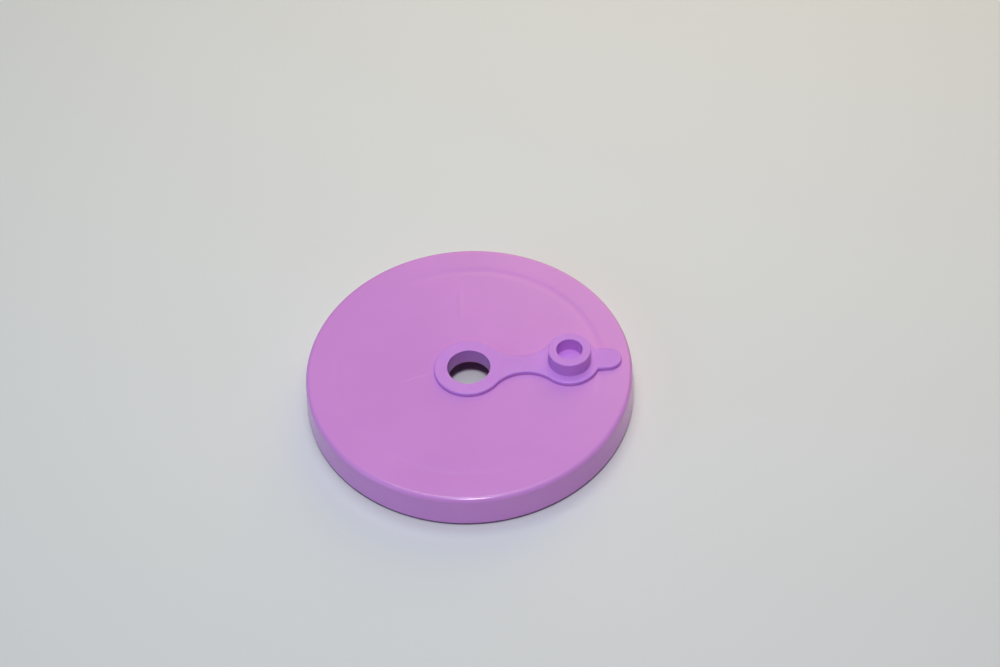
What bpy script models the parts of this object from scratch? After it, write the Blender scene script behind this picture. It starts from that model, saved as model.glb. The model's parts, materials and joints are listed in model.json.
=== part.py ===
"""Flat round drinking lid with a tethered silicone stopper, for Blender 4.5.

The lid stands on its inner wall, +Z up, with the origin at the bottom under the straw hole.
The stopper lies open along +X, as it does while a straw stands in the hole.
Lengths are in metres and angles in radians.
"""

import math

import bmesh
import bpy
from mathutils import Vector

MM = 0.001

# Gaps between separate pieces.
TOUCH_GAP = 0.3 * MM
PLUG_CLEARANCE = 0.1 * MM

# Lid shell: top plate, outer skirt and inner wall, moulded in one.
LID_DIAMETER = 90.0 * MM
LID_HEIGHT = 10.7 * MM
PLATE_THICKNESS = 2.0 * MM
TOP_EDGE_RADIUS = 1.3 * MM
SKIRT_THICKNESS = 1.6 * MM
SKIRT_LIFT = 1.1 * MM
SKIRT_DRAFT = 0.4 * MM
SKIRT_EDGE_RADIUS = 0.4 * MM
RIM_CHANNEL_WIDTH = 6.8 * MM
INNER_WALL_THICKNESS = 1.8 * MM
WALL_FOOT_CHAMFER = 0.5 * MM

# Seal ring and its groove on the outside of the inner wall.
GROOVE_DEPTH = 0.8 * MM
GROOVE_HEIGHT = 2.8 * MM
GROOVE_ABOVE_FOOT = 2.2 * MM
SEAL_STANDS_PROUD = 1.0 * MM

# Silicone stopper: eyelet in the lid, strap, cap with its plug, pull tab.
BORE_DIAMETER = 11.8 * MM
EYELET_RIM_WIDTH = 3.65 * MM
SLEEVE_THICKNESS = 1.3 * MM
LOWER_FLANGE_GRIP = 1.1 * MM
LOWER_FLANGE_THICKNESS = 1.4 * MM
LOWER_FLANGE_CHAMFER = 0.4 * MM
STRAP_THICKNESS = 1.0 * MM
STRAP_EDGE_RADIUS = 0.25 * MM
WAIST_WIDTH = 6.1 * MM
HOLE_TO_PLUG = 27.6 * MM
PLUG_HEIGHT = 4.5 * MM
PLUG_WALL = 2.25 * MM
PLUG_EDGE_RADIUS = 0.3 * MM
CAP_RIM_WIDTH = 2.45 * MM
TAB_WIDTH = 7.15 * MM
TAB_LENGTH = 6.0 * MM

# Fold of the strap: three equal bends bring the cap upside down over the bore.
FOLD_ANGLE = math.radians(60.0)
PLUG_LIFT_CLEARANCE = 0.7 * MM

# Fineness of the round shapes.
LID_STEPS = 72
SMALL_STEPS = 48
CORNER_STEPS = 3

# Heights worked out from the sizes above.
PLATE_UNDERSIDE = LID_HEIGHT - PLATE_THICKNESS
STRAP_BOTTOM = LID_HEIGHT + TOUCH_GAP
STRAP_TOP = STRAP_BOTTOM + STRAP_THICKNESS
FLANGE_TOP = PLATE_UNDERSIDE - TOUCH_GAP
FLANGE_BOTTOM = FLANGE_TOP - LOWER_FLANGE_THICKNESS

# Radii worked out from the sizes above.
LID_RADIUS = LID_DIAMETER / 2
LID_TOP_RADIUS = LID_RADIUS - SKIRT_DRAFT
SKIRT_INSIDE_RADIUS = LID_RADIUS - SKIRT_THICKNESS
WALL_RADIUS = SKIRT_INSIDE_RADIUS - RIM_CHANNEL_WIDTH
WALL_INSIDE_RADIUS = WALL_RADIUS - INNER_WALL_THICKNESS
BORE_RADIUS = BORE_DIAMETER / 2
SLEEVE_RADIUS = BORE_RADIUS + SLEEVE_THICKNESS
LID_HOLE_RADIUS = SLEEVE_RADIUS + TOUCH_GAP
LOWER_FLANGE_RADIUS = LID_HOLE_RADIUS + LOWER_FLANGE_GRIP
EYELET_RADIUS = BORE_RADIUS + EYELET_RIM_WIDTH
PLUG_RADIUS = BORE_RADIUS - PLUG_CLEARANCE
RECESS_RADIUS = PLUG_RADIUS - PLUG_WALL
CAP_RADIUS = PLUG_RADIUS + CAP_RIM_WIDTH

# Bends of the strap. Folded over, the cap hangs this far above the eyelet.
FOLD_RISE = PLUG_HEIGHT + PLUG_LIFT_CLEARANCE
FOLD_PITCH = FOLD_RISE / (2 * math.sin(FOLD_ANGLE))
FOLD_PLACES = [HOLE_TO_PLUG / 2 + side * FOLD_PITCH for side in (-1, 0, 1)]
CAP_PLACE = (FOLD_PLACES[2] + HOLE_TO_PLUG - PLUG_RADIUS) / 2

LILAC = (0.58, 0.26, 0.62)
VIOLET = (0.50, 0.22, 0.68)
MILKY = (0.80, 0.78, 0.84)


def clear_scene():
    """Remove what the startup file holds."""
    for obj in list(bpy.data.objects):
        bpy.data.objects.remove(obj, do_unlink=True)


def finish(name, colour, roughness):
    """Make a plastic material with one colour."""
    material = bpy.data.materials.new(name)
    material.use_nodes = True
    shader = material.node_tree.nodes["Principled BSDF"]
    shader.inputs["Base Color"].default_value = (*colour, 1.0)
    shader.inputs["Roughness"].default_value = roughness
    shader.inputs["Metallic"].default_value = 0.0
    return material


def add_object(name, mesh, origin, material):
    """Put a mesh in the scene, with its points measured from the origin given."""
    obj = bpy.data.objects.new(name, mesh)
    obj.location = origin
    obj.data.materials.append(material)
    bpy.context.collection.objects.link(obj)
    return obj


def arc(centre, radius, start, end, steps):
    """Points of an arc in a plane, both ends included."""
    points = []
    for step in range(steps + 1):
        angle = start + (end - start) * step / steps
        points.append((centre[0] + radius * math.cos(angle), centre[1] + radius * math.sin(angle)))
    return points


def turned(name, profile, origin, material, steps):
    """Spin (radius, height) points round the vertical line through the origin.

    A profile that starts on that line stays open there, and any other one is closed.
    """
    mesh = bpy.data.meshes.new(name)
    points = [(radius, 0.0, height - origin.z) for radius, height in profile]
    edges = [(index, index + 1) for index in range(len(points) - 1)]
    if profile[0][0] > 0:
        edges.append((len(points) - 1, 0))
    mesh.from_pydata(points, edges, [])
    obj = add_object(name, mesh, origin, material)
    screw = obj.modifiers.new("spin", "SCREW")
    screw.axis = "Z"
    screw.steps = steps
    screw.render_steps = steps
    screw.use_merge_vertices = True
    screw.merge_threshold = 0.00001
    screw.use_smooth_shade = True
    return obj


def plate(name, outline, bottom, top, origin, material, rounded_edges):
    """Extrude a flat outline and round the top edges that the test accepts."""
    bm = bmesh.new()
    ring = [bm.verts.new((x - origin.x, y - origin.y, bottom - origin.z)) for x, y in outline]
    base = bm.faces.new(ring)
    grown = bmesh.ops.extrude_face_region(bm, geom=[base])["geom"]
    lifted = [item for item in grown if isinstance(item, bmesh.types.BMVert)]
    bmesh.ops.translate(bm, vec=(0, 0, top - bottom), verts=lifted)
    bmesh.ops.recalc_face_normals(bm, faces=bm.faces)
    height = top - origin.z
    edges = [edge for edge in bm.edges if rounded_edges(edge, height, origin)]
    bmesh.ops.bevel(
        bm, geom=edges, offset=STRAP_EDGE_RADIUS, segments=2, affect="EDGES", profile=0.5, clamp_overlap=True
    )
    mesh = bpy.data.meshes.new(name)
    bm.to_mesh(mesh)
    bm.free()
    return add_object(name, mesh, origin, material)


def tool(obj, owner):
    """Hide a solid that only cuts or joins another one, and let it follow its owner."""
    obj.hide_render = True
    obj.display_type = "WIRE"
    carry(obj, owner)


def combine(owner, other, operation):
    """Join or cut with another solid, which stays as a hidden tool."""
    change = owner.modifiers.new(other.name, "BOOLEAN")
    change.operation = operation
    change.solver = "EXACT"
    change.object = other
    tool(other, owner)


def carry(obj, parent):
    """Parent an object without moving it."""
    obj.location = obj.location - parent_place(parent)
    obj.parent = parent


def parent_place(obj):
    """World place of an object whose parents are neither turned nor scaled."""
    place = obj.location.copy()
    while obj.parent:
        obj = obj.parent
        place += obj.location
    return place


def waist_arc():
    """Radius and centre of the hollow arc that meets the eyelet, the waist and the cap smoothly."""
    half_waist = WAIST_WIDTH / 2
    lean = (EYELET_RADIUS**2 - CAP_RADIUS**2 + HOLE_TO_PLUG**2) / (2 * HOLE_TO_PLUG)
    slope = (EYELET_RADIUS - CAP_RADIUS) / HOLE_TO_PLUG
    square = slope**2
    linear = 2 * lean * slope + 2 * half_waist - 2 * EYELET_RADIUS
    constant = lean**2 + half_waist**2 - EYELET_RADIUS**2
    if square < 1e-9:
        radius = -constant / linear
    else:
        radius = (-linear - math.sqrt(linear**2 - 4 * square * constant)) / (2 * square)
    return radius, lean + slope * radius, half_waist + radius


def half_width(x):
    """Half of the strap's width at a distance x from the bore's axis."""
    radius, centre_x, centre_y = waist_arc()
    eyelet_end = centre_x * EYELET_RADIUS / (EYELET_RADIUS + radius)
    cap_start = HOLE_TO_PLUG - (HOLE_TO_PLUG - centre_x) * CAP_RADIUS / (CAP_RADIUS + radius)
    if x <= eyelet_end:
        return math.sqrt(max(EYELET_RADIUS**2 - x**2, 0.0))
    if x < cap_start:
        return centre_y - math.sqrt(radius**2 - (x - centre_x) ** 2)
    return math.sqrt(max(CAP_RADIUS**2 - (x - HOLE_TO_PLUG) ** 2, 0.0))


def strap_edge(start, end, steps):
    """Points of the strap's edge from one place to another, closer together where the ends are round."""
    points = []
    for step in range(steps + 1):
        share = (1 - math.cos(math.pi * step / steps)) / 2
        x = start + (end - start) * share
        points.append((x, half_width(x)))
    return points


def mirrored(edge):
    """Close an upper edge with its mirror image, leaving out points that lie on the centre line."""
    flipped = [(x, -y) for x, y in edge if y > 1e-6]
    kept = [(x, max(y, 0.0)) for x, y in edge]
    return flipped + kept[::-1]


def on_top(edge, height):
    """True for an edge that lies in a plate's top face."""
    return all(abs(vert.co.z - height) < 1e-6 for vert in edge.verts)


def away_from_cuts(cuts):
    """Accept the top edges that aren't on one of the strap's straight cuts."""

    def accept(edge, height, origin):
        if not on_top(edge, height):
            return False
        for cut in cuts:
            if all(abs(vert.co.x + origin.x - cut) < 1e-6 for vert in edge.verts):
                return False
        return True

    return accept


def lid_shell(material):
    """Top plate with a round outer edge, a slightly tapered skirt and the inner wall that it stands on."""
    groove_bottom = GROOVE_ABOVE_FOOT
    groove_top = groove_bottom + GROOVE_HEIGHT
    top_round = min(TOP_EDGE_RADIUS, PLATE_THICKNESS, SKIRT_THICKNESS)
    foot_round = min(SKIRT_EDGE_RADIUS, SKIRT_THICKNESS / 2)
    quarter = math.pi / 2
    top_centre = (LID_TOP_RADIUS - top_round, LID_HEIGHT - top_round)
    foot_outer = (LID_RADIUS - foot_round, SKIRT_LIFT + foot_round)
    foot_inner = (SKIRT_INSIDE_RADIUS + foot_round, SKIRT_LIFT + foot_round)
    profile = [(LID_HOLE_RADIUS, LID_HEIGHT)]
    profile += arc(top_centre, top_round, quarter, 0, 2 * CORNER_STEPS)
    profile += arc(foot_outer, foot_round, 0, -quarter, CORNER_STEPS)
    profile += arc(foot_inner, foot_round, -quarter, -2 * quarter, CORNER_STEPS)
    profile += [
        (SKIRT_INSIDE_RADIUS - SKIRT_DRAFT, PLATE_UNDERSIDE),
        (WALL_RADIUS, PLATE_UNDERSIDE),
        (WALL_RADIUS, groove_top),
        (WALL_RADIUS - GROOVE_DEPTH, groove_top),
        (WALL_RADIUS - GROOVE_DEPTH, groove_bottom),
        (WALL_RADIUS, groove_bottom),
        (WALL_RADIUS, WALL_FOOT_CHAMFER),
        (WALL_RADIUS - WALL_FOOT_CHAMFER, 0.0),
        (WALL_INSIDE_RADIUS, 0.0),
        (WALL_INSIDE_RADIUS, PLATE_UNDERSIDE),
        (LID_HOLE_RADIUS, PLATE_UNDERSIDE),
    ]
    return turned("lid_shell", profile, Vector((0, 0, 0)), material, LID_STEPS)


def seal_ring(material):
    """Soft ring that fills the groove and stands proud of the wall with a round nose."""
    bottom = GROOVE_ABOVE_FOOT + TOUCH_GAP
    top = GROOVE_ABOVE_FOOT + GROOVE_HEIGHT - TOUCH_GAP
    inside = WALL_RADIUS - GROOVE_DEPTH + TOUCH_GAP
    nose = (top - bottom) / 2
    outside = WALL_RADIUS + SEAL_STANDS_PROUD
    round_part = arc((0, 0), 1, math.pi / 2, -math.pi / 2, 2 * CORNER_STEPS)
    nose_depth = outside - WALL_RADIUS
    profile = [(inside, top)]
    profile += [(WALL_RADIUS + nose_depth * along, bottom + nose + nose * up) for along, up in round_part]
    profile += [(inside, bottom)]
    return turned("seal_ring", profile, Vector((0, 0, 0)), material, LID_STEPS)


def stopper_grommet(material):
    """Eyelet on the lid, sleeve through its hole and flange below it, with the start of the strap."""
    origin = Vector((0, 0, STRAP_TOP))
    cut = FOLD_PLACES[0] - TOUCH_GAP / 2
    outline = mirrored(strap_edge(-EYELET_RADIUS, cut, SMALL_STEPS // 2))
    grommet = plate(
        "stopper_grommet", outline, STRAP_BOTTOM, STRAP_TOP, origin, material, away_from_cuts([cut])
    )
    inside_strap = STRAP_BOTTOM + STRAP_THICKNESS / 2
    within_bore = BORE_RADIUS / 2
    sleeve_profile = [
        (within_bore, inside_strap),
        (SLEEVE_RADIUS, inside_strap),
        (SLEEVE_RADIUS, FLANGE_TOP),
        (LOWER_FLANGE_RADIUS, FLANGE_TOP),
        (LOWER_FLANGE_RADIUS, FLANGE_BOTTOM + LOWER_FLANGE_CHAMFER),
        (LOWER_FLANGE_RADIUS - LOWER_FLANGE_CHAMFER, FLANGE_BOTTOM),
        (within_bore, FLANGE_BOTTOM),
    ]
    combine(grommet, turned("sleeve_tool", sleeve_profile, origin, material, SMALL_STEPS), "UNION")
    past = 2 * STRAP_THICKNESS
    bore_profile = [
        (0.0, STRAP_TOP + past),
        (BORE_RADIUS, STRAP_TOP + past),
        (BORE_RADIUS, FLANGE_BOTTOM - past),
        (0.0, FLANGE_BOTTOM - past),
    ]
    combine(grommet, turned("bore_tool", bore_profile, origin, material, SMALL_STEPS), "DIFFERENCE")
    return grommet


def strap_link(number, start, end, material):
    """Length of strap that starts at its own bend."""
    origin = Vector((start, 0, STRAP_TOP))
    cuts = [start + TOUCH_GAP / 2, end - TOUCH_GAP / 2]
    outline = mirrored(strap_edge(*cuts, CORNER_STEPS * 2))
    return plate(
        f"strap_link_{number}", outline, STRAP_BOTTOM, STRAP_TOP, origin, material, away_from_cuts(cuts)
    )


def stopper_cap(material):
    """Cap disc at the strap's end, with the hollow plug standing on it."""
    origin = Vector((HOLE_TO_PLUG, 0, STRAP_TOP))
    cut = CAP_PLACE + TOUCH_GAP / 2
    outline = mirrored(strap_edge(cut, HOLE_TO_PLUG + CAP_RADIUS, SMALL_STEPS // 2))
    cap = plate("stopper_cap", outline, STRAP_BOTTOM, STRAP_TOP, origin, material, away_from_cuts([cut]))
    plug_top = STRAP_TOP + PLUG_HEIGHT
    edge = min(PLUG_EDGE_RADIUS, PLUG_WALL / 3)
    inside_strap = STRAP_BOTTOM + STRAP_THICKNESS / 2
    profile = arc((RECESS_RADIUS + edge, plug_top - edge), edge, math.pi, math.pi / 2, CORNER_STEPS)
    profile += arc((PLUG_RADIUS - edge, plug_top - edge), edge, math.pi / 2, 0, CORNER_STEPS)
    profile += [(PLUG_RADIUS, inside_strap), (RECESS_RADIUS, inside_strap)]
    combine(cap, turned("plug_tool", profile, origin, material, SMALL_STEPS), "UNION")
    return cap


def pull_tab(material):
    """Flat tab with a round end, to lift the cap by."""
    origin = Vector((HOLE_TO_PLUG, 0, STRAP_TOP))
    root_radius = CAP_RADIUS + TOUCH_GAP
    half = TAB_WIDTH / 2
    spread = math.asin(half / root_radius)
    end_centre = (HOLE_TO_PLUG + CAP_RADIUS + TAB_LENGTH - half, 0)
    outline = arc(end_centre, half, -math.pi / 2, math.pi / 2, 4 * CORNER_STEPS)
    outline += arc((HOLE_TO_PLUG, 0), root_radius, spread, -spread, 2 * CORNER_STEPS)

    def outer_edges(edge, height, place):
        if not on_top(edge, height):
            return False
        return any((vert.co.xy.length - root_radius) > 1e-5 for vert in edge.verts)

    return plate("pull_tab", outline, STRAP_BOTTOM, STRAP_TOP, origin, material, outer_edges)


def build():
    """Make every piece, and hang the moving ones on each other."""
    clear_scene()
    lid = lid_shell(finish("lilac polypropylene", LILAC, 0.35))
    seal = seal_ring(finish("milky silicone", MILKY, 0.6))
    carry(seal, lid)
    grommet = stopper_grommet(finish("violet silicone eyelet", VIOLET, 0.55))
    carry(grommet, lid)
    above = grommet
    places = FOLD_PLACES + [CAP_PLACE]
    for number in (1, 2, 3):
        silicone = finish(f"violet silicone strap {number}", VIOLET, 0.55)
        link = strap_link(number, places[number - 1], places[number], silicone)
        carry(link, above)
        above = link
    cap = stopper_cap(finish("violet silicone cap", VIOLET, 0.55))
    carry(cap, above)
    tab = pull_tab(finish("violet silicone tab", VIOLET, 0.55))
    carry(tab, cap)


build()
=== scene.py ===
# %% [markdown]
# # A lilac cup lid with a tethered silicone stopper
# The lid is a round plastic moulding, and a soft stopper is pushed through its straw hole. The engineering
# model of both is already packed, with every joint, and this lesson makes the surfaces that are seen around
# it. The first cell loads that model. It comes in with its nodes selected, so the cell clears the selection,
# because Blender's operators act on all that is selected.

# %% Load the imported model
import json
import math

import bmesh
import bpy
from mathutils import Matrix, Vector


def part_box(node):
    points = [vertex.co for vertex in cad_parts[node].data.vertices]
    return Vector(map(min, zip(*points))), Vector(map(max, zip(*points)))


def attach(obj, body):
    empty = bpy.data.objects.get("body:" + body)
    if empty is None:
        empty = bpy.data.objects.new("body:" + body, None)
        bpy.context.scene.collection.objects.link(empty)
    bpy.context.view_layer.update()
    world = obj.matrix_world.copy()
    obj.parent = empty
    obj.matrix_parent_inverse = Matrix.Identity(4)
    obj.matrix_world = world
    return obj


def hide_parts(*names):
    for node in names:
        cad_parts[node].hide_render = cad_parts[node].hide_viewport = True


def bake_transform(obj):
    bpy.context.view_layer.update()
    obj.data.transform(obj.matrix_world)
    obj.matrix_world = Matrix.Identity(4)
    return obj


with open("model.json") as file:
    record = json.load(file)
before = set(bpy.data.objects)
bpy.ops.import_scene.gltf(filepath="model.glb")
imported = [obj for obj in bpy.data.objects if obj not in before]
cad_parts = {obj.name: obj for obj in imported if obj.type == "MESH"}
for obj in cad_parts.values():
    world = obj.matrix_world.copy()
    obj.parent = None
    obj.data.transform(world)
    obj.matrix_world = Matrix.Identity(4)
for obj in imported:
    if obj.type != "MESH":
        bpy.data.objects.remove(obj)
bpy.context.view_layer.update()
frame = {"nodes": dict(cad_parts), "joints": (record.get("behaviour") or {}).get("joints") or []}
bpy.ops.object.select_all(action="DESELECT")
MM = 0.001
print("nodes:", sorted(frame["nodes"]))

# %% [markdown]
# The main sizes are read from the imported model, so that the new surfaces fit its joints. A node's box gives
# its outer size. A turned node's points lie in rings about the middle, and the radius and height of its
# rings give its bores, walls and edges.

# %% Helpers for reading sizes
def points_of(node):
    """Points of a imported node, in metres."""
    return [vertex.co for vertex in frame["nodes"][node].data.vertices]


def distance_to_axis(point, x):
    """How far a point lies from the vertical line through (x, 0)."""
    return math.hypot(point.x - x, point.y)


def rings_of(node):
    """Radius and height of each ring of points about the Z axis, to a hundredth of a millimetre."""
    rings = {(round(distance_to_axis(point, 0), 5), round(point.z, 5)) for point in points_of(node)}
    return sorted(rings)


print("rings of points on the lid shell:", len(rings_of("lid_shell")))

# %% [markdown]
# The camera comes first, because every later look is judged through it. It stands about three quarters of a
# metre off, well above the table, with a portrait lens, and it is a little rolled, as a camera held by hand
# is. Its turn is written as three small angles away from looking straight at the origin.

# %% Camera
camera_distance = 745.7 * MM
camera_elevation = math.radians(50.7)
strap_lean = math.radians(0.8)
aim_sideways = 0.0123
aim_upward = -0.0220
camera_roll = math.radians(-3.41)
focal_length = 97.2
sensor_width = 36.0

camera_data = bpy.data.cameras.new("camera")
camera_data.lens = focal_length
camera_data.sensor_width = sensor_width
camera = bpy.data.objects.new("camera", camera_data)
bpy.context.scene.collection.objects.link(camera)
camera_place = Vector((0, -math.cos(camera_elevation), math.sin(camera_elevation))) * camera_distance
looking = Matrix.Rotation(math.pi / 2 - camera_elevation, 3, "X")
small_turns = (
    Matrix.Rotation(-aim_sideways, 3, "Y")
    @ Matrix.Rotation(-aim_upward, 3, "X")
    @ Matrix.Rotation(camera_roll, 3, "Z")
)
lean = Matrix.Rotation(-strap_lean, 3, "Z")
camera.matrix_world = Matrix.Translation(lean @ camera_place) @ (lean @ looking @ small_turns).to_4x4()
bpy.context.scene.camera = camera
print("camera at", [round(value, 3) for value in camera.matrix_world.translation])

# %% [markdown]
# A round moulding is made as a wood turner thinks of it: its half section is drawn once and spun about the
# middle. The section starts as a circle primitive with one point for each corner. Those points are moved to
# their places, the corners are rounded with a vertex bevel, and the spin operator makes the body.

# %% Helpers for turned pieces
SPIN_STEPS = 192
MERGE_DISTANCE = 0.002 * MM


def clear_selection():
    """Leave edit mode and select nothing."""
    if bpy.context.object and bpy.context.object.mode != "OBJECT":
        bpy.ops.object.mode_set(mode="OBJECT")
    bpy.ops.object.select_all(action="DESELECT")


def pick(piece):
    """Make one object the only selected and active one."""
    clear_selection()
    piece.select_set(True)
    bpy.context.view_layer.objects.active = piece


def draw_section(name, corners):
    """Wire polygon in the X-Z plane, through (radius, height, rounding) corners."""
    clear_selection()
    bpy.ops.mesh.primitive_circle_add(vertices=len(corners), radius=MM, fill_type="NOTHING")
    section = bpy.context.object
    section.name = name
    section.data.name = name
    for vertex, (radius, height, _) in zip(section.data.vertices, corners):
        vertex.co = (radius, 0, height)
    return section


def round_corners(section, corners, segments):
    """Bevel the section's corners that ask for it, one by one."""
    for radius, height, rounding in corners:
        if rounding == 0:
            continue
        pick(section)
        bpy.ops.object.mode_set(mode="EDIT")
        bpy.ops.mesh.select_mode(type="VERT")
        bpy.ops.mesh.select_all(action="DESELECT")
        shape = bmesh.from_edit_mesh(section.data)
        corner = Vector((radius, 0, height))
        nearest = min(shape.verts, key=lambda vertex: (vertex.co - corner).length)
        nearest.select = True
        shape.select_flush_mode()
        bmesh.update_edit_mesh(section.data)
        bpy.ops.mesh.bevel(offset=rounding, segments=segments, affect="VERTICES")
    clear_selection()


def turned(name, corners, segments, steps):
    """Draw a closed section, round its corners and spin it about the Z axis into a body."""
    section = draw_section(name, corners)
    round_corners(section, corners, segments)
    pick(section)
    bpy.ops.object.mode_set(mode="EDIT")
    bpy.ops.mesh.select_all(action="SELECT")
    bpy.ops.mesh.spin(
        steps=steps, angle=2 * math.pi, center=(0, 0, 0), axis=(0, 0, 1), use_auto_merge=True
    )
    bpy.ops.mesh.select_all(action="SELECT")
    bpy.ops.mesh.remove_doubles(threshold=MERGE_DISTANCE)
    bpy.ops.mesh.normals_make_consistent(inside=False)
    clear_selection()
    return section


print("a turned piece is spun in", SPIN_STEPS, "steps, and the lid in twice as many")

# %% [markdown]
# Flats and round edges meet without a crease on a moulding. Smooth shading alone would bend the light on the
# flats too, so the normals are then weighted by the area of their faces, which keeps each flat flat.

# %% Helpers for smooth shading
def smooth(piece, angle=40):
    """Shade round parts smooth, and keep the flats flat with normals weighted by face area."""
    pick(piece)
    bpy.ops.object.shade_smooth_by_angle(angle=math.radians(angle))
    bpy.ops.object.modifier_add(type="WEIGHTED_NORMAL")
    piece.modifiers[-1].keep_sharp = True
    bpy.ops.object.modifier_apply(modifier=piece.modifiers[-1].name)
    clear_selection()


def describe(piece):
    """Say what a piece measures and how many faces it has."""
    sides = [round(side / MM, 2) for side in piece.dimensions]
    print(piece.name, "mm:", sides, "faces:", len(piece.data.polygons))


print("helpers are ready")

# %% [markdown]
# The lid has a top plate, a skirt outside and a wall inside, with a groove for the seal ring round that wall.
# Three rings on the underside of the plate, outside the hole, show where the wall and the skirt stand.

# %% Sizes of the lid
lid_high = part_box("lid_shell")[1]
lid_top = lid_high.z
lid_radius = lid_high.x
hole_radius = min(distance_to_axis(point, 0) for point in points_of("lid_shell"))
lid_rings = rings_of("lid_shell")
past_hole = hole_radius + MM
plate_under = min(height for radius, height in lid_rings if radius < past_hole)
under_radii = [radius for radius, height in lid_rings if height == plate_under and radius > past_hole]
wall_inside, wall_outside, skirt_root = under_radii
groove_rings = [ring for ring in lid_rings if wall_inside < ring[0] < wall_outside and ring[1] > 0]
groove_radius, groove_low = groove_rings[0]
groove_high = groove_rings[-1][1]
skirt_rings = [ring for ring in lid_rings if ring[0] > skirt_root and ring[1] < plate_under]
skirt_inside = skirt_rings[0][0]
skirt_low = min(height for radius, height in skirt_rings)
skirt_draft = skirt_inside - skirt_root
print("hole", round(2 * hole_radius / MM, 2), "wall", round(2 * wall_outside / MM, 2), "mm wide")
print("skirt's edge", round(skirt_low / MM, 2), "mm up, and it widens by", round(skirt_draft / MM, 2), "mm")

# %% [markdown]
# The lid shell is one injection moulding. Seen from above it is a flat plate with a generous round outer edge
# and a short skirt that widens a little downwards, so that it leaves its mould. Underneath, a second wall
# goes into the cup. Plastic shrinks as it cools, and where that wall meets the plate there is more of it, so
# the plate above sinks by a few hundredths of a millimetre. That sink is drawn into the section as a shallow
# dip, and the light finds it as a faint ring, as on the real plate.

# %% Lid shell
hole_edge_round = 0.2 * MM
top_edge_round = 1.25 * MM
skirt_edge_round = 0.35 * MM
root_round = 0.6 * MM
groove_round = 0.15 * MM
foot_outer_round = 0.55 * MM
foot_inner_round = 0.3 * MM
sink_depth = 0.05 * MM
sink_half_width = 1.8 * MM
sink_centre = wall_outside - 0.4 * MM


def sink_corners(steps=12):
    """Corners along the plate's top that dip by a smooth hump's depth, from inside to outside."""
    dip = []
    for step in range(steps + 1):
        share = 2 * step / steps - 1
        depth = sink_depth * (1 + math.cos(math.pi * share)) / 2
        dip.append((sink_centre + share * sink_half_width, lid_top - depth, 0))
    return dip


lid_corners = [(hole_radius, lid_top, hole_edge_round)]
lid_corners += sink_corners()
lid_corners += [
    (lid_radius - skirt_draft, lid_top, top_edge_round),
    (lid_radius, skirt_low, skirt_edge_round),
    (skirt_inside, skirt_low, skirt_edge_round),
    (skirt_root, plate_under, root_round),
    (wall_outside, plate_under, root_round),
    (wall_outside, groove_high, groove_round),
    (groove_radius, groove_high, groove_round),
    (groove_radius, groove_low, groove_round),
    (wall_outside, groove_low, groove_round),
    (wall_outside, 0.0, foot_outer_round),
    (wall_inside, 0.0, foot_inner_round),
    (wall_inside, plate_under, root_round),
    (hole_radius, plate_under, hole_edge_round),
]
lid = turned("lid_moulding", lid_corners, segments=8, steps=2 * SPIN_STEPS)
smooth(lid)
describe(lid)

# %% [markdown]
# The seal ring is a strip of soft silicone in a groove round the inner wall. Its back is flat, and its front
# has two rounded lips with a valley between them, because two thin lips seal better than one thick one.

# %% Seal ring
seal_low, seal_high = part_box("seal_ring")
seal_inside = min(distance_to_axis(point, 0) for point in points_of("seal_ring"))
seal_outside = seal_high.x
seal_middle = (seal_low.z + seal_high.z) / 2
seal_half = (seal_high.z - seal_low.z) / 2
lip_tip = 0.75 * seal_half
lip_foot = 0.45 * seal_half
lip_step = 0.1 * MM
valley_radius = wall_outside + 0.25 * MM
seal_edge_round = 0.1 * MM
lip_round = 0.2 * MM
valley_round = 0.15 * MM
seal_corners = [
    (seal_inside, seal_high.z, seal_edge_round),
    (wall_outside, seal_high.z, seal_edge_round),
    (seal_outside, seal_middle + lip_tip, lip_round),
    (seal_outside - lip_step, seal_middle + lip_foot, valley_round),
    (valley_radius, seal_middle, valley_round),
    (seal_outside - lip_step, seal_middle - lip_foot, valley_round),
    (seal_outside, seal_middle - lip_tip, lip_round),
    (wall_outside, seal_low.z, seal_edge_round),
    (seal_inside, seal_low.z, seal_edge_round),
]
seal = turned("seal_ring_lips", seal_corners, segments=4, steps=SPIN_STEPS)
smooth(seal, angle=50)
describe(seal)

# %% [markdown]
# The stopper lies on the lid as an eyelet, a strap with a narrow waist, and a cap with the plug and a pull
# tab. The strap's three hinges give the places where it bends, and the plug stands as far beyond the middle
# one as the hole lies before it. The waist's width is read between the round top edge of the middle link and
# its underside.

# %% Sizes of the stopper
bends = [joint["pos_m"][0] for joint in frame["joints"] if joint["name"].startswith("strap_fold")]
bends.sort()
plug_x = 2 * bends[1]
grommet_low, grommet_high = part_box("stopper_grommet")
strap_top = grommet_high.z
eyelet_radius = grommet_high.y
bore_radius = min(distance_to_axis(point, 0) for point in points_of("stopper_grommet"))
cap_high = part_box("stopper_cap")[1]
cap_radius = cap_high.y
plug_top = cap_high.z
plug_points = [point for point in points_of("stopper_cap") if point.z > strap_top + MM]
plug_radius = max(distance_to_axis(point, plug_x) for point in plug_points)
recess_radius = min(distance_to_axis(point, plug_x) for point in plug_points)
tab_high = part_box("pull_tab")[1]
tab_half = tab_high.y
tab_end = tab_high.x
side_from, side_to = 0.2 * MM, 0.8 * MM
side_points = [point for point in points_of("strap_link_2") if side_from < strap_top - point.z < side_to]
waist_half = min(abs(point.y) for point in side_points)
print("bore", round(2 * bore_radius / MM, 2), "plug", round(2 * plug_radius / MM, 2), "mm wide")
print("plug at", round(plug_x / MM, 2), "and bends at", [round(x / MM, 2) for x in bends], "mm")
print("waist", round(2 * waist_half / MM, 2), "mm wide")

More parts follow.
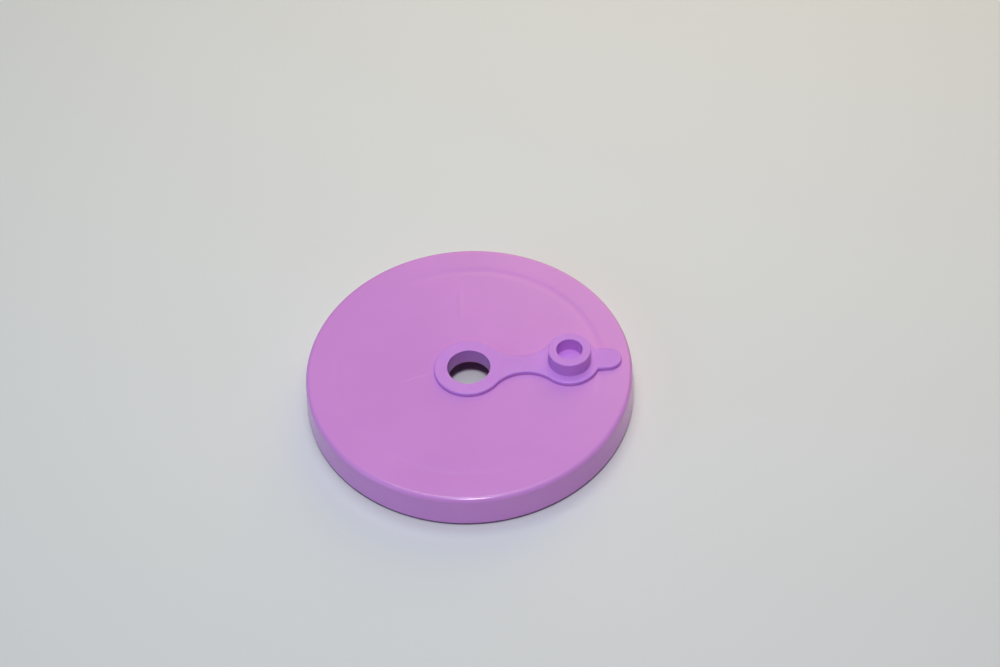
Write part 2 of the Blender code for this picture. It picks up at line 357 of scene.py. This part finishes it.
# %% [markdown]
# The stopper is one soft moulding, so it is modelled as one solid and only cut up at the end. Its plate is
# drawn as an outline: a circle round the hole, a hollow arc along the waist, a second circle under the plug
# and a tab with a round end. One arc radius makes the waist touch both circles smoothly, and it follows from
# the sizes, so no point is placed by eye.

# %% Outline of the stopper's plate
OUTLINE_SPACING = 0.35 * MM


def waist_arc():
    """Radius and centre of the arc that touches the eyelet, the waist's narrowest place and the cap."""
    lean_x = (eyelet_radius**2 - cap_radius**2 + plug_x**2) / (2 * plug_x)
    slope = (eyelet_radius - cap_radius) / plug_x
    linear = 2 * lean_x * slope + 2 * waist_half - 2 * eyelet_radius
    constant = lean_x**2 + waist_half**2 - eyelet_radius**2
    radius = (-linear - math.sqrt(linear**2 - 4 * slope**2 * constant)) / (2 * slope**2)
    return radius, lean_x + slope * radius, waist_half + radius


def arc_points(centre, radius, start, end):
    """Points along an arc, about OUTLINE_SPACING apart, without its last one."""
    count = max(2, round(abs(end - start) * radius / OUTLINE_SPACING))
    found = []
    for step in range(count):
        angle = start + (end - start) * step / count
        found.append((centre[0] + radius * math.cos(angle), centre[1] + radius * math.sin(angle)))
    return found


def upper_outline():
    """Outer outline of the half with y above 0, from the tab's tip round to the eyelet's far side."""
    arc_radius, arc_x, arc_y = waist_arc()
    at_eyelet = math.atan2(arc_y, arc_x)
    at_cap = math.atan2(arc_y, arc_x - plug_x)
    tab_root = math.asin(tab_half / cap_radius)
    tab_centre = (tab_end - tab_half, 0)
    half = arc_points(tab_centre, tab_half, 0, math.pi / 2)
    half += [(tab_centre[0], tab_half)]
    half += arc_points((plug_x, 0), cap_radius, tab_root, at_cap)
    half += arc_points((arc_x, arc_y), arc_radius, at_cap - math.pi, at_eyelet - math.pi)
    half += arc_points((0, 0), eyelet_radius, at_eyelet, math.pi)
    half += [(-eyelet_radius, 0)]
    return half


half_outline = upper_outline()
print("outline points:", len(half_outline), "waist arc radius in mm:", round(waist_arc()[0] / MM, 2))

# %% [markdown]
# The plate's top face has two round holes in it, one for the bore and one where the plug stands. A Blender
# face can't have a hole, but half of such a plate is one face whose edge runs along the middle line and round
# each half hole. So one half is drawn, and the underside is a second such face, with only the sleeve's hole
# in it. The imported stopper's rings below the lid's plate give the radii of the sleeve and of its flange.

# %% Top and underside of half the plate
ROUND_STEPS = 128
ON_MIDDLE = 1e-9
plate_top = strap_top
plate_bottom = lid_top + 0.05 * MM
bore_round = 0.05 * MM
plug_root_round = 0.2 * MM
sleeve_root_round = 0.15 * MM
plug_side = plug_radius + 0.05 * MM
below_plate = [ring for ring in rings_of("stopper_grommet") if ring[1] < plate_under]
flange_high = max(height for radius, height in below_plate)
flange_radius = max(radius for radius, height in below_plate)
sleeve_radius = min(radius for radius, height in below_plate if height == flange_high)


def half_hole(x, radius):
    """Points over a half hole, from its far left to its far right."""
    steps = ROUND_STEPS // 2
    angles = [math.pi * (1 - step / steps) for step in range(steps + 1)]
    return [(x + radius * math.cos(angle), radius * math.sin(angle)) for angle in angles]


def half_plate(name, height, holes):
    """One flat face of half the plate, with half holes along its middle line."""
    path = list(half_outline)
    for x, radius in holes:
        path += half_hole(x, radius)
    clear_selection()
    bpy.ops.mesh.primitive_circle_add(vertices=len(path), radius=MM, fill_type="NOTHING")
    face = bpy.context.object
    face.name = name
    for vertex, (x, y) in zip(face.data.vertices, path):
        vertex.co = (x, y if y > ON_MIDDLE else 0, height)
    bpy.ops.object.mode_set(mode="EDIT")
    bpy.ops.mesh.select_all(action="SELECT")
    bpy.ops.mesh.edge_face_add()
    bpy.ops.object.mode_set(mode="OBJECT")
    return face


plate = half_plate(
    "stopper_moulding", plate_top, [(0, bore_radius + bore_round), (plug_x, plug_side + plug_root_round)]
)
underside = half_plate("stopper_underside", plate_bottom, [(0, sleeve_radius + sleeve_root_round)])
print("points round the top:", len(plate.data.vertices), "and the underside:", len(underside.data.vertices))

# %% [markdown]
# The outer edge of the top is pulled down for the side wall, and the underside is joined on. A Mirror
# modifier then adds the other half and sews it along the middle line. The edges to pull are picked by their
# place: at the height of the top, and away from the middle line and both holes.

# %% The stopper's plate
SAME_PLACE = 1e-6


def on_outline(middle):
    """Whether an edge's middle lies on the plate's outer edge, not on a hole or the middle line."""
    from_bore = math.hypot(middle.x, middle.y)
    from_plug = math.hypot(middle.x - plug_x, middle.y)
    off_middle_line = abs(middle.y) > SAME_PLACE
    return off_middle_line and from_bore > sleeve_radius + MM and from_plug > plug_side + MM


def select_outline_edges(piece, height):
    """In edit mode, select the outline's edges at a height, and count them."""
    bpy.ops.mesh.select_mode(type="EDGE")
    bpy.ops.mesh.select_all(action="DESELECT")
    shape = bmesh.from_edit_mesh(piece.data)
    count = 0
    for edge in shape.edges:
        first, second = edge.verts
        off_height = abs(first.co.z - height) + abs(second.co.z - height)
        if off_height < SAME_PLACE and on_outline((first.co + second.co) / 2):
            edge.select = True
            count += 1
    shape.select_flush_mode()
    bmesh.update_edit_mesh(piece.data)
    return count


pick(plate)
bpy.ops.object.mode_set(mode="EDIT")
side_count = select_outline_edges(plate, plate_top)
bpy.ops.mesh.extrude_edges_move(TRANSFORM_OT_translate={"value": (0, 0, plate_bottom - plate_top)})
bpy.ops.object.mode_set(mode="OBJECT")
underside.select_set(True)
bpy.ops.object.join()
bpy.ops.object.modifier_add(type="MIRROR")
mirror = plate.modifiers[-1]
mirror.use_axis = (False, True, False)
mirror.use_clip = True
mirror.merge_threshold = MERGE_DISTANCE
bpy.ops.object.modifier_apply(modifier=mirror.name)
print("side faces on one half:", side_count)
describe(plate)

# %% [markdown]
# The plug and the sleeve are turned, like the lid, but their sections are open lines that start and stop on
# the plate's holes. Spun with as many steps as the holes have, their rims fall on the plate's points. A
# rounding where the line meets the plate would use up the whole short stretch to its end point, so it is
# made a little smaller, and the two points stay apart.

# %% Helpers for open sections
SHORT_OF_END = 0.98


def open_section(name, x, corners, segments=6):
    """Open wire line in the X-Z plane, its radii counted from the axis at x, with rounded corners."""
    shifted = [(x + radius, height, rounding) for radius, height, rounding in corners]
    line = draw_section(name, shifted)
    pick(line)
    bpy.ops.object.mode_set(mode="EDIT")
    bpy.ops.mesh.select_mode(type="EDGE")
    bpy.ops.mesh.select_all(action="DESELECT")
    shape = bmesh.from_edit_mesh(line.data)
    shape.verts.ensure_lookup_table()
    closing = shape.edges.get((shape.verts[0], shape.verts[len(corners) - 1]))
    closing.select = True
    bmesh.update_edit_mesh(line.data)
    bpy.ops.mesh.delete(type="EDGE")
    bpy.ops.object.mode_set(mode="OBJECT")
    round_corners(line, shifted, segments)
    return line


def spin_about(line, x):
    """Spin an open line all the way round the vertical axis at x."""
    pick(line)
    bpy.ops.object.mode_set(mode="EDIT")
    bpy.ops.mesh.select_mode(type="VERT")
    bpy.ops.mesh.select_all(action="SELECT")
    bpy.ops.mesh.spin(
        steps=ROUND_STEPS, angle=2 * math.pi, center=(x, 0, 0), axis=(0, 0, 1), use_auto_merge=True
    )
    bpy.ops.mesh.select_all(action="SELECT")
    bpy.ops.mesh.remove_doubles(threshold=MERGE_DISTANCE)
    clear_selection()


print("open sections are spun in", ROUND_STEPS, "steps")

# %% [markdown]
# The plug is a thick ring round a blind recess, which makes it soft enough to be squeezed into the bore. Its
# section runs up from the plate, over the rounded rim and down to the middle of the recess.

# %% Plug
plug_outer_round = 0.28 * MM
recess_round = 0.15 * MM
recess_floor_round = 0.35 * MM
recess_floor = plate_top + 0.05 * MM
plug_line = open_section("plug_section", plug_x, [
    (plug_side + plug_root_round, plate_top, 0),
    (plug_side, plate_top, plug_root_round * SHORT_OF_END),
    (plug_side, plug_top, plug_outer_round),
    (recess_radius, plug_top, recess_round),
    (recess_radius, recess_floor, recess_floor_round),
    (0, recess_floor, 0),
])
spin_about(plug_line, plug_x)
describe(plug_line)

# %% [markdown]
# The sleeve goes down through the lid and ends in a flange with a chamfer, which is what lets the soft part
# be pushed in but not pulled out. Its section runs down the bore, round the flange and up to the plate.

# %% Bore, sleeve and flange
flange_low = grommet_low.z
flange_chamfer = 0.4 * MM
bore_end_round = 0.25 * MM
chamfer_round = 0.2 * MM
flange_round = 0.3 * MM
flange_root_round = 0.15 * MM
sleeve_line = open_section("sleeve_section", 0, [
    (bore_radius + bore_round, plate_top, 0),
    (bore_radius, plate_top, bore_round * SHORT_OF_END),
    (bore_radius, flange_low, bore_end_round),
    (flange_radius - flange_chamfer, flange_low, chamfer_round),
    (flange_radius, flange_low + flange_chamfer, chamfer_round),
    (flange_radius, flange_high, flange_round),
    (sleeve_radius, flange_high, flange_root_round),
    (sleeve_radius, plate_bottom, sleeve_root_round * SHORT_OF_END),
    (sleeve_radius + sleeve_root_round, plate_bottom, 0),
])
spin_about(sleeve_line, 0)
describe(sleeve_line)

# %% [markdown]
# Plate, plug and sleeve are now three surfaces whose rims lie on each other. They are joined into one object,
# and merging by distance sews them together. No point may then be left on an open edge.

# %% Sew the stopper together
SEW_DISTANCE = 0.01 * MM

pick(plate)
plug_line.select_set(True)
sleeve_line.select_set(True)
bpy.ops.object.join()
bpy.ops.object.mode_set(mode="EDIT")
bpy.ops.mesh.select_mode(type="VERT")
bpy.ops.mesh.select_all(action="SELECT")
bpy.ops.mesh.remove_doubles(threshold=SEW_DISTANCE)
bpy.ops.mesh.normals_make_consistent(inside=False)
bpy.ops.mesh.select_all(action="DESELECT")
bpy.ops.mesh.select_non_manifold()
sewn = bmesh.from_edit_mesh(plate.data)
open_count = sum(1 for vertex in sewn.verts if vertex.select)
clear_selection()
print("points on an open edge:", open_count)
describe(plate)

# %% [markdown]
# Silicone parts come out of their mould with edges that are round to the touch. The outline's two edge loops
# are picked by their place and bevelled with a few segments, and the vertical side between them stays.

# %% Soft edges
edge_rounds = {plate_top: 0.42 * MM, plate_bottom: 0.1 * MM}
for height, rounding in edge_rounds.items():
    pick(plate)
    bpy.ops.object.mode_set(mode="EDIT")
    edge_count = select_outline_edges(plate, height)
    bpy.ops.mesh.bevel(offset=rounding, segments=5, profile=0.5, affect="EDGES")
    clear_selection()
    print("rounded edges:", edge_count)
describe(plate)

# %% [markdown]
# The strap is the living hinge that lets the plug swing over into the bore. It crosses several joints, so the
# finished solid is cut crosswise with bisect planes: an eyelet that stays with the lid, four strips of strap
# that lie over one joint each, and the cap with its plug and tab. Each cut is filled, so that every piece is
# closed, and both sides of a cut have the same points, so that no seam shows. A strip needs edges across it
# to bend round, which more bisect planes give.

# %% Cut the stopper at its joints
STRIP_STEP = 0.12 * MM
CUT_THRESHOLD = 1e-7
short_of_plug = 0.35 * MM
half_link = (bends[1] - bends[0]) / 2
cuts = [bends[0] - half_link, bends[0] + half_link, bends[1] + half_link, bends[2] + half_link]
cuts.append(plug_x - plug_side - short_of_plug)


def cut_at(piece, x, keep=None):
    """Bisect a piece at x. keep is 'above' or 'below' to drop one side and close the cut."""
    pick(piece)
    bpy.ops.object.mode_set(mode="EDIT")
    bpy.ops.mesh.select_mode(type="VERT")
    bpy.ops.mesh.select_all(action="SELECT")
    bpy.ops.mesh.bisect(
        plane_co=(x, 0, 0), plane_no=(1, 0, 0), threshold=CUT_THRESHOLD,
        use_fill=keep is not None, clear_inner=keep == "above", clear_outer=keep == "below",
    )
    clear_selection()


def slice_of(name, low, high):
    """A closed copy of the stopper between two cuts, either of which may be missing."""
    pick(plate)
    bpy.ops.object.duplicate()
    piece = bpy.context.object
    piece.name = name
    piece.data.name = name
    if low is not None:
        cut_at(piece, low, keep="above")
    if high is not None:
        cut_at(piece, high, keep="below")
    return piece


eyelet = slice_of("stopper_eyelet", None, cuts[0])
strips = []
for number, (low, high) in enumerate(zip(cuts[:-1], cuts[1:]), start=1):
    strip = slice_of(f"strap_strip_{number}", low, high)
    rows = round((high - low) / STRIP_STEP)
    for row in range(1, rows):
        cut_at(strip, low + (high - low) * row / rows)
    strips.append(strip)
plug_cap = slice_of("stopper_plug_and_tab", cuts[-1], None)
pick(plate)
bpy.ops.object.delete()
for piece in [eyelet, *strips, plug_cap]:
    smooth(piece)
    describe(piece)

# %% [markdown]
# A finish is a small net of nodes round the Principled shader. Noise on Object coordinates makes a pattern
# that stays on the piece, and it can tint the colour, vary the roughness, or raise the surface as a bump. Its
# blotches are given in metres, so that a grain is as fine as on the real mould.

# %% Helpers for finishes
def new_material(name):
    """Node material with its Principled shader and an Object coordinate output."""
    material = bpy.data.materials.new(name)
    material.use_nodes = True
    nodes = material.node_tree.nodes
    place = nodes.new("ShaderNodeTexCoord")
    return material, nodes["Principled BSDF"], place.outputs["Object"]


def connect(material, output, node, socket):
    """Link an output to a node's socket."""
    material.node_tree.links.new(output, node.inputs[socket])


def add_noise(material, place, size, detail=2.0, roughness=0.5):
    """Noise whose blotches are about so many metres across."""
    noise = material.node_tree.nodes.new("ShaderNodeTexNoise")
    noise.inputs["Scale"].default_value = 1 / size
    noise.inputs["Detail"].default_value = detail
    noise.inputs["Roughness"].default_value = roughness
    connect(material, place, noise, "Vector")
    return noise.outputs["Fac"]


def colour_between(material, share, first, second, low=0.35, high=0.65):
    """Mix two colours by a value, through a ramp from low to high."""
    ramp = material.node_tree.nodes.new("ShaderNodeValToRGB")
    ramp.color_ramp.elements[0].position = low
    ramp.color_ramp.elements[0].color = (*first, 1)
    ramp.color_ramp.elements[1].position = high
    ramp.color_ramp.elements[1].color = (*second, 1)
    connect(material, share, ramp, "Fac")
    return ramp.outputs["Color"]


def value_between(material, share, first, second):
    """Map a noise's value from 0..1 to a range of values."""
    spread = material.node_tree.nodes.new("ShaderNodeMapRange")
    spread.inputs["To Min"].default_value = first
    spread.inputs["To Max"].default_value = second
    connect(material, share, spread, "Value")
    return spread.outputs["Result"]


def add_bump(material, height, distance, under=None):
    """Bump of a height pattern, on top of another bump if one is given."""
    bump = material.node_tree.nodes.new("ShaderNodeBump")
    bump.inputs["Strength"].default_value = 1.0
    bump.inputs["Distance"].default_value = distance
    connect(material, height, bump, "Height")
    if under is not None:
        connect(material, under, bump, "Normal")
    return bump.outputs["Normal"]


print("helpers for finishes are ready")

# %% [markdown]
# The lid is polypropylene or a similar glossy plastic. Its mould is polished to a semi-gloss, so it mirrors
# the lamps softly, and a very fine grain and a slight orange peel break the mirror up. The colour varies by
# a few parts in a hundred, in blotches as wide as a finger, as pigment does in a moulding.

# %% Lid plastic
lid_deep, lid_pale = (0.655, 0.266, 0.695), (0.675, 0.276, 0.715)
lid_plastic, lid_shader, lid_place = new_material("lid_plastic")
lid_shader.inputs["IOR"].default_value = 1.49
lid_tint = add_noise(lid_plastic, lid_place, 18 * MM, detail=3)
orange_peel = add_noise(lid_plastic, lid_place, 1.6 * MM, detail=1)
fine_grain = add_noise(lid_plastic, lid_place, 0.12 * MM, detail=2)
lid_colour = colour_between(lid_plastic, lid_tint, lid_deep, lid_pale)
connect(lid_plastic, lid_colour, lid_shader, "Base Color")
connect(lid_plastic, value_between(lid_plastic, lid_tint, 0.17, 0.21), lid_shader, "Roughness")
grain_normal = add_bump(lid_plastic, fine_grain, 0.002 * MM)
peel_normal = add_bump(lid_plastic, orange_peel, 0.004 * MM, under=grain_normal)
print("finish:", lid_plastic.name)

# %% [markdown]
# Where the melt flowed round the hole and met again, it left two faint weld lines on the plate, each a ridge
# of a few hundredths of a millimetre. A Mapping node puts its own X axis along the line, and the ridge fades
# out towards the line's ends and to both sides of it.

# %% Weld lines on the lid
weld_ridge = 0.03 * MM


def join_values(material, kind, first, second=None):
    """A Math node of some kind on one or two values."""
    node = material.node_tree.nodes.new("ShaderNodeMath")
    node.operation = kind
    connect(material, first, node, 0)
    if second is not None:
        connect(material, second, node, 1)
    return node.outputs["Value"]


def fade_out(material, value, near, far):
    """1 up to near, 0 beyond far, and smooth between."""
    fade = material.node_tree.nodes.new("ShaderNodeMapRange")
    fade.interpolation_type = "SMOOTHSTEP"
    fade.inputs["From Min"].default_value = near
    fade.inputs["From Max"].default_value = far
    fade.inputs["To Min"].default_value = 1.0
    fade.inputs["To Max"].default_value = 0.0
    connect(material, value, fade, "Value")
    return fade.outputs["Result"]


def weld_line(middle, heading, half_length, half_width):
    """Height of a ridge along a short straight line on the plate, 1 on its crest and 0 away from it."""
    turn = lid_plastic.node_tree.nodes.new("ShaderNodeMapping")
    turn.vector_type = "TEXTURE"
    turn.inputs["Location"].default_value = (*middle, 0)
    turn.inputs["Rotation"].default_value = (0, 0, math.radians(heading))
    connect(lid_plastic, lid_place, turn, "Vector")
    split = lid_plastic.node_tree.nodes.new("ShaderNodeSeparateXYZ")
    connect(lid_plastic, turn.outputs["Vector"], split, "Vector")
    along = join_values(lid_plastic, "ABSOLUTE", split.outputs["X"])
    across = join_values(lid_plastic, "ABSOLUTE", split.outputs["Y"])
    ends = fade_out(lid_plastic, along, half_length / 2, half_length)
    sides = fade_out(lid_plastic, across, 0, half_width)
    return join_values(lid_plastic, "MULTIPLY", ends, sides)


weld_left = weld_line((-14.6 * MM, -1.4 * MM), 18, half_length=5.5 * MM, half_width=0.35 * MM)
weld_back = weld_line((-1.0 * MM, 24 * MM), 88, half_length=7 * MM, half_width=1.1 * MM)
weld_height = join_values(lid_plastic, "ADD", weld_left, weld_back)
weld_normal = add_bump(lid_plastic, weld_height, weld_ridge, under=peel_normal)
connect(lid_plastic, weld_normal, lid_shader, "Normal")
print("weld lines stand", round(weld_ridge / MM, 3), "mm proud")

# %% [markdown]
# The stopper is silicone from a blasted mould, so it is satin all over, without a mirror in it. Light goes a
# little way into the soft rubber and comes out beside, its blue part farthest, which the subsurface values
# give.

# %% Stopper silicone
stopper_deep, stopper_pale = (0.62, 0.261, 0.76), (0.64, 0.273, 0.78)
silicone, silicone_shader, silicone_place = new_material("lilac_silicone")
silicone_shader.inputs["Subsurface Weight"].default_value = 0.5
silicone_shader.inputs["Subsurface Radius"].default_value = (0.5, 0.25, 1.0)
silicone_shader.inputs["Subsurface Scale"].default_value = 0.8 * MM
silicone_shader.inputs["IOR"].default_value = 1.41
silicone_tint = add_noise(silicone, silicone_place, 6 * MM, detail=3)
blasted = add_noise(silicone, silicone_place, 0.10 * MM, detail=3, roughness=0.6)
silicone_colour = colour_between(silicone, silicone_tint, stopper_deep, stopper_pale)
connect(silicone, silicone_colour, silicone_shader, "Base Color")
connect(silicone, value_between(silicone, silicone_tint, 0.38, 0.44), silicone_shader, "Roughness")
connect(silicone, add_bump(silicone, blasted, 0.006 * MM), silicone_shader, "Normal")
print("finish:", silicone.name)

# %% [markdown]
# The seal is silicone too, but with hardly any pigment, and so it is milky. Then each piece gets its finish.

# %% Seal silicone, and the finish of each piece
seal_deep, seal_pale = (0.70, 0.66, 0.74), (0.75, 0.71, 0.79)
seal_silicone, seal_shader, seal_place = new_material("seal_silicone")
seal_shader.inputs["IOR"].default_value = 1.41
seal_tint = add_noise(seal_silicone, seal_place, 5 * MM, detail=3)
seal_grain = add_noise(seal_silicone, seal_place, 0.12 * MM)
seal_colour = colour_between(seal_silicone, seal_tint, seal_deep, seal_pale)
connect(seal_silicone, seal_colour, seal_shader, "Base Color")
connect(seal_silicone, value_between(seal_silicone, seal_tint, 0.42, 0.50), seal_shader, "Roughness")
connect(seal_silicone, add_bump(seal_silicone, seal_grain, 0.004 * MM), seal_shader, "Normal")


def finish_with(piece, material):
    """Give a piece its only material."""
    piece.data.materials.clear()
    piece.data.materials.append(material)


finish_with(lid, lid_plastic)
finish_with(seal, seal_silicone)
for piece in [eyelet, *strips, plug_cap]:
    finish_with(piece, silicone)
print("finishes:", lid_plastic.name, silicone.name, seal_silicone.name)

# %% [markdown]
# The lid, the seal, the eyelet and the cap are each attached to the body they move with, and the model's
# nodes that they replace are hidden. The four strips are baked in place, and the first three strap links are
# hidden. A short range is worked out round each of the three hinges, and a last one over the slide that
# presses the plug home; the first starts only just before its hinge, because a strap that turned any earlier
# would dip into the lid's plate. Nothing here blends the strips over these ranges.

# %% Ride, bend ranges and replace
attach(lid, "lid")
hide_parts("lid_shell")
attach(seal, "lid")
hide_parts("seal_ring")
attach(eyelet, "grommet")
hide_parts("stopper_grommet")
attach(plug_cap, "cap")
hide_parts("stopper_cap", "pull_tab")
BEND_HALF = 0.9 * MM
FIRST_BEND_LEAD = 0.6 * MM
bend_ranges = [(bend - BEND_HALF, bend + BEND_HALF) for bend in bends]
bend_ranges[0] = (bends[0] - FIRST_BEND_LEAD, bends[0] + BEND_HALF)
bend_ranges.append((cuts[-2], cuts[-1]))
for number, strip in enumerate(strips):
    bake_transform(strip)
    if number < len(bends):
        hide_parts(f"strap_link_{number + 1}")

# %% [markdown]
# The lid stands on a pale, plain table, a plane far larger than the view. Its colour is palest at a spot just
# behind the lid and slowly greyer away from it, which is painted shade: the fall-off of the light towards the
# corners, painted into the table's colour. The table is nearly matt, so that it mirrors nothing.

# %% Table
TABLE_SIZE = 6.0
# Painted shade: the table's colour greys away from this spot, standing for the fall-off of the lamps' light
# towards the corners.
painted_light_centre = (0.01, 0.06, 0)
painted_shade_reach = 0.4
table_pale, table_painted_shade = (0.738, 0.738, 0.737), (0.46, 0.46, 0.46)

clear_selection()
bpy.ops.mesh.primitive_plane_add(size=TABLE_SIZE)
table = bpy.context.object
table.name = "table"
bpy.ops.object.mode_set(mode="EDIT")
bpy.ops.mesh.subdivide(number_cuts=5)
bpy.ops.object.mode_set(mode="OBJECT")
table_paint, table_shader, table_place = new_material("table_paint")
from_spot = table_paint.node_tree.nodes.new("ShaderNodeVectorMath")
from_spot.operation = "DISTANCE"
from_spot.inputs[1].default_value = painted_light_centre
connect(table_paint, table_place, from_spot, 0)
squared = table_paint.node_tree.nodes.new("ShaderNodeMath")
squared.operation = "POWER"
squared.inputs[1].default_value = 2.0
connect(table_paint, from_spot.outputs["Value"], squared, 0)
# The grey that this mixes in is painted shade, not a tone of the table.
shade = table_paint.node_tree.nodes.new("ShaderNodeMapRange")
shade.inputs["From Max"].default_value = painted_shade_reach**2
connect(table_paint, squared.outputs["Value"], shade, "Value")
table_colour = colour_between(
    table_paint, shade.outputs["Result"], table_pale, table_painted_shade, low=0.0, high=1.0
)
table_mottle = add_noise(table_paint, table_place, 40 * MM, detail=2)
connect(table_paint, table_colour, table_shader, "Base Color")
connect(table_paint, value_between(table_paint, table_mottle, 0.75, 0.85), table_shader, "Roughness")
table.data.materials.append(table_paint)
print("table finish:", table_paint.name)

# %% [markdown]
# Most of the light comes from one small cool lamp, high on the camera's side, which also shines through the
# straw hole onto the table. A wide ceiling panel fills the shadows, and a low blue glow from the left lights
# the skirt there. A small glow high behind the lid and a low warm lamp at the back right make the far side
# of the table warmer and leave a soft bluish shadow in front of the lid.

# %% Lamps
def add_lamp(name, azimuth, zenith, distance, size, power, colour):
    """Round area lamp that looks at the origin from an azimuth and an angle off the vertical."""
    data = bpy.data.lights.new(name, "AREA")
    data.shape = "DISK"
    data.size = size
    data.energy = power
    data.color = colour
    lamp = bpy.data.objects.new(name, data)
    bpy.context.scene.collection.objects.link(lamp)
    around, off = math.radians(azimuth), math.radians(zenith)
    heading = Vector((math.sin(off) * math.cos(around), math.sin(off) * math.sin(around), math.cos(off)))
    lamp.location = heading * distance
    lamp.rotation_euler = heading.to_track_quat("Z", "Y").to_euler()
    print(name, "of", power, "W at", [round(value, 2) for value in lamp.location])


add_lamp("front_lamp", -94, 22, distance=1.5, size=0.22, power=11.3, colour=(0.94, 0.875, 1.0))
add_lamp("ceiling_panel", 0, 0, distance=1.4, size=1.2, power=4.1, colour=(0.57, 0.93, 0.94))
add_lamp("window_glow", 98, 17, distance=0.8, size=0.28, power=0.85, colour=(0.98, 1.0, 0.87))
add_lamp("side_glow", 205, 68, distance=1.2, size=0.8, power=1.9, colour=(0.38, 0.75, 1.0))
add_lamp("warm_lamp", 66, 61, distance=0.64, size=0.60, power=1.6, colour=(1.0, 0.72, 0.31))

# %% [markdown]
# The rest of the room is a very weak blue light from all round. The Standard view shows the colours as the
# lamps and the finishes give them, without a film's curve.

# %% Room
room = bpy.data.worlds.new("room")
room.use_nodes = True
background = room.node_tree.nodes["Background"]
background.inputs["Color"].default_value = (0.55, 0.80, 1.0, 1)
background.inputs["Strength"].default_value = 0.028
bpy.context.scene.world = room
bpy.context.scene.view_settings.view_transform = "Standard"
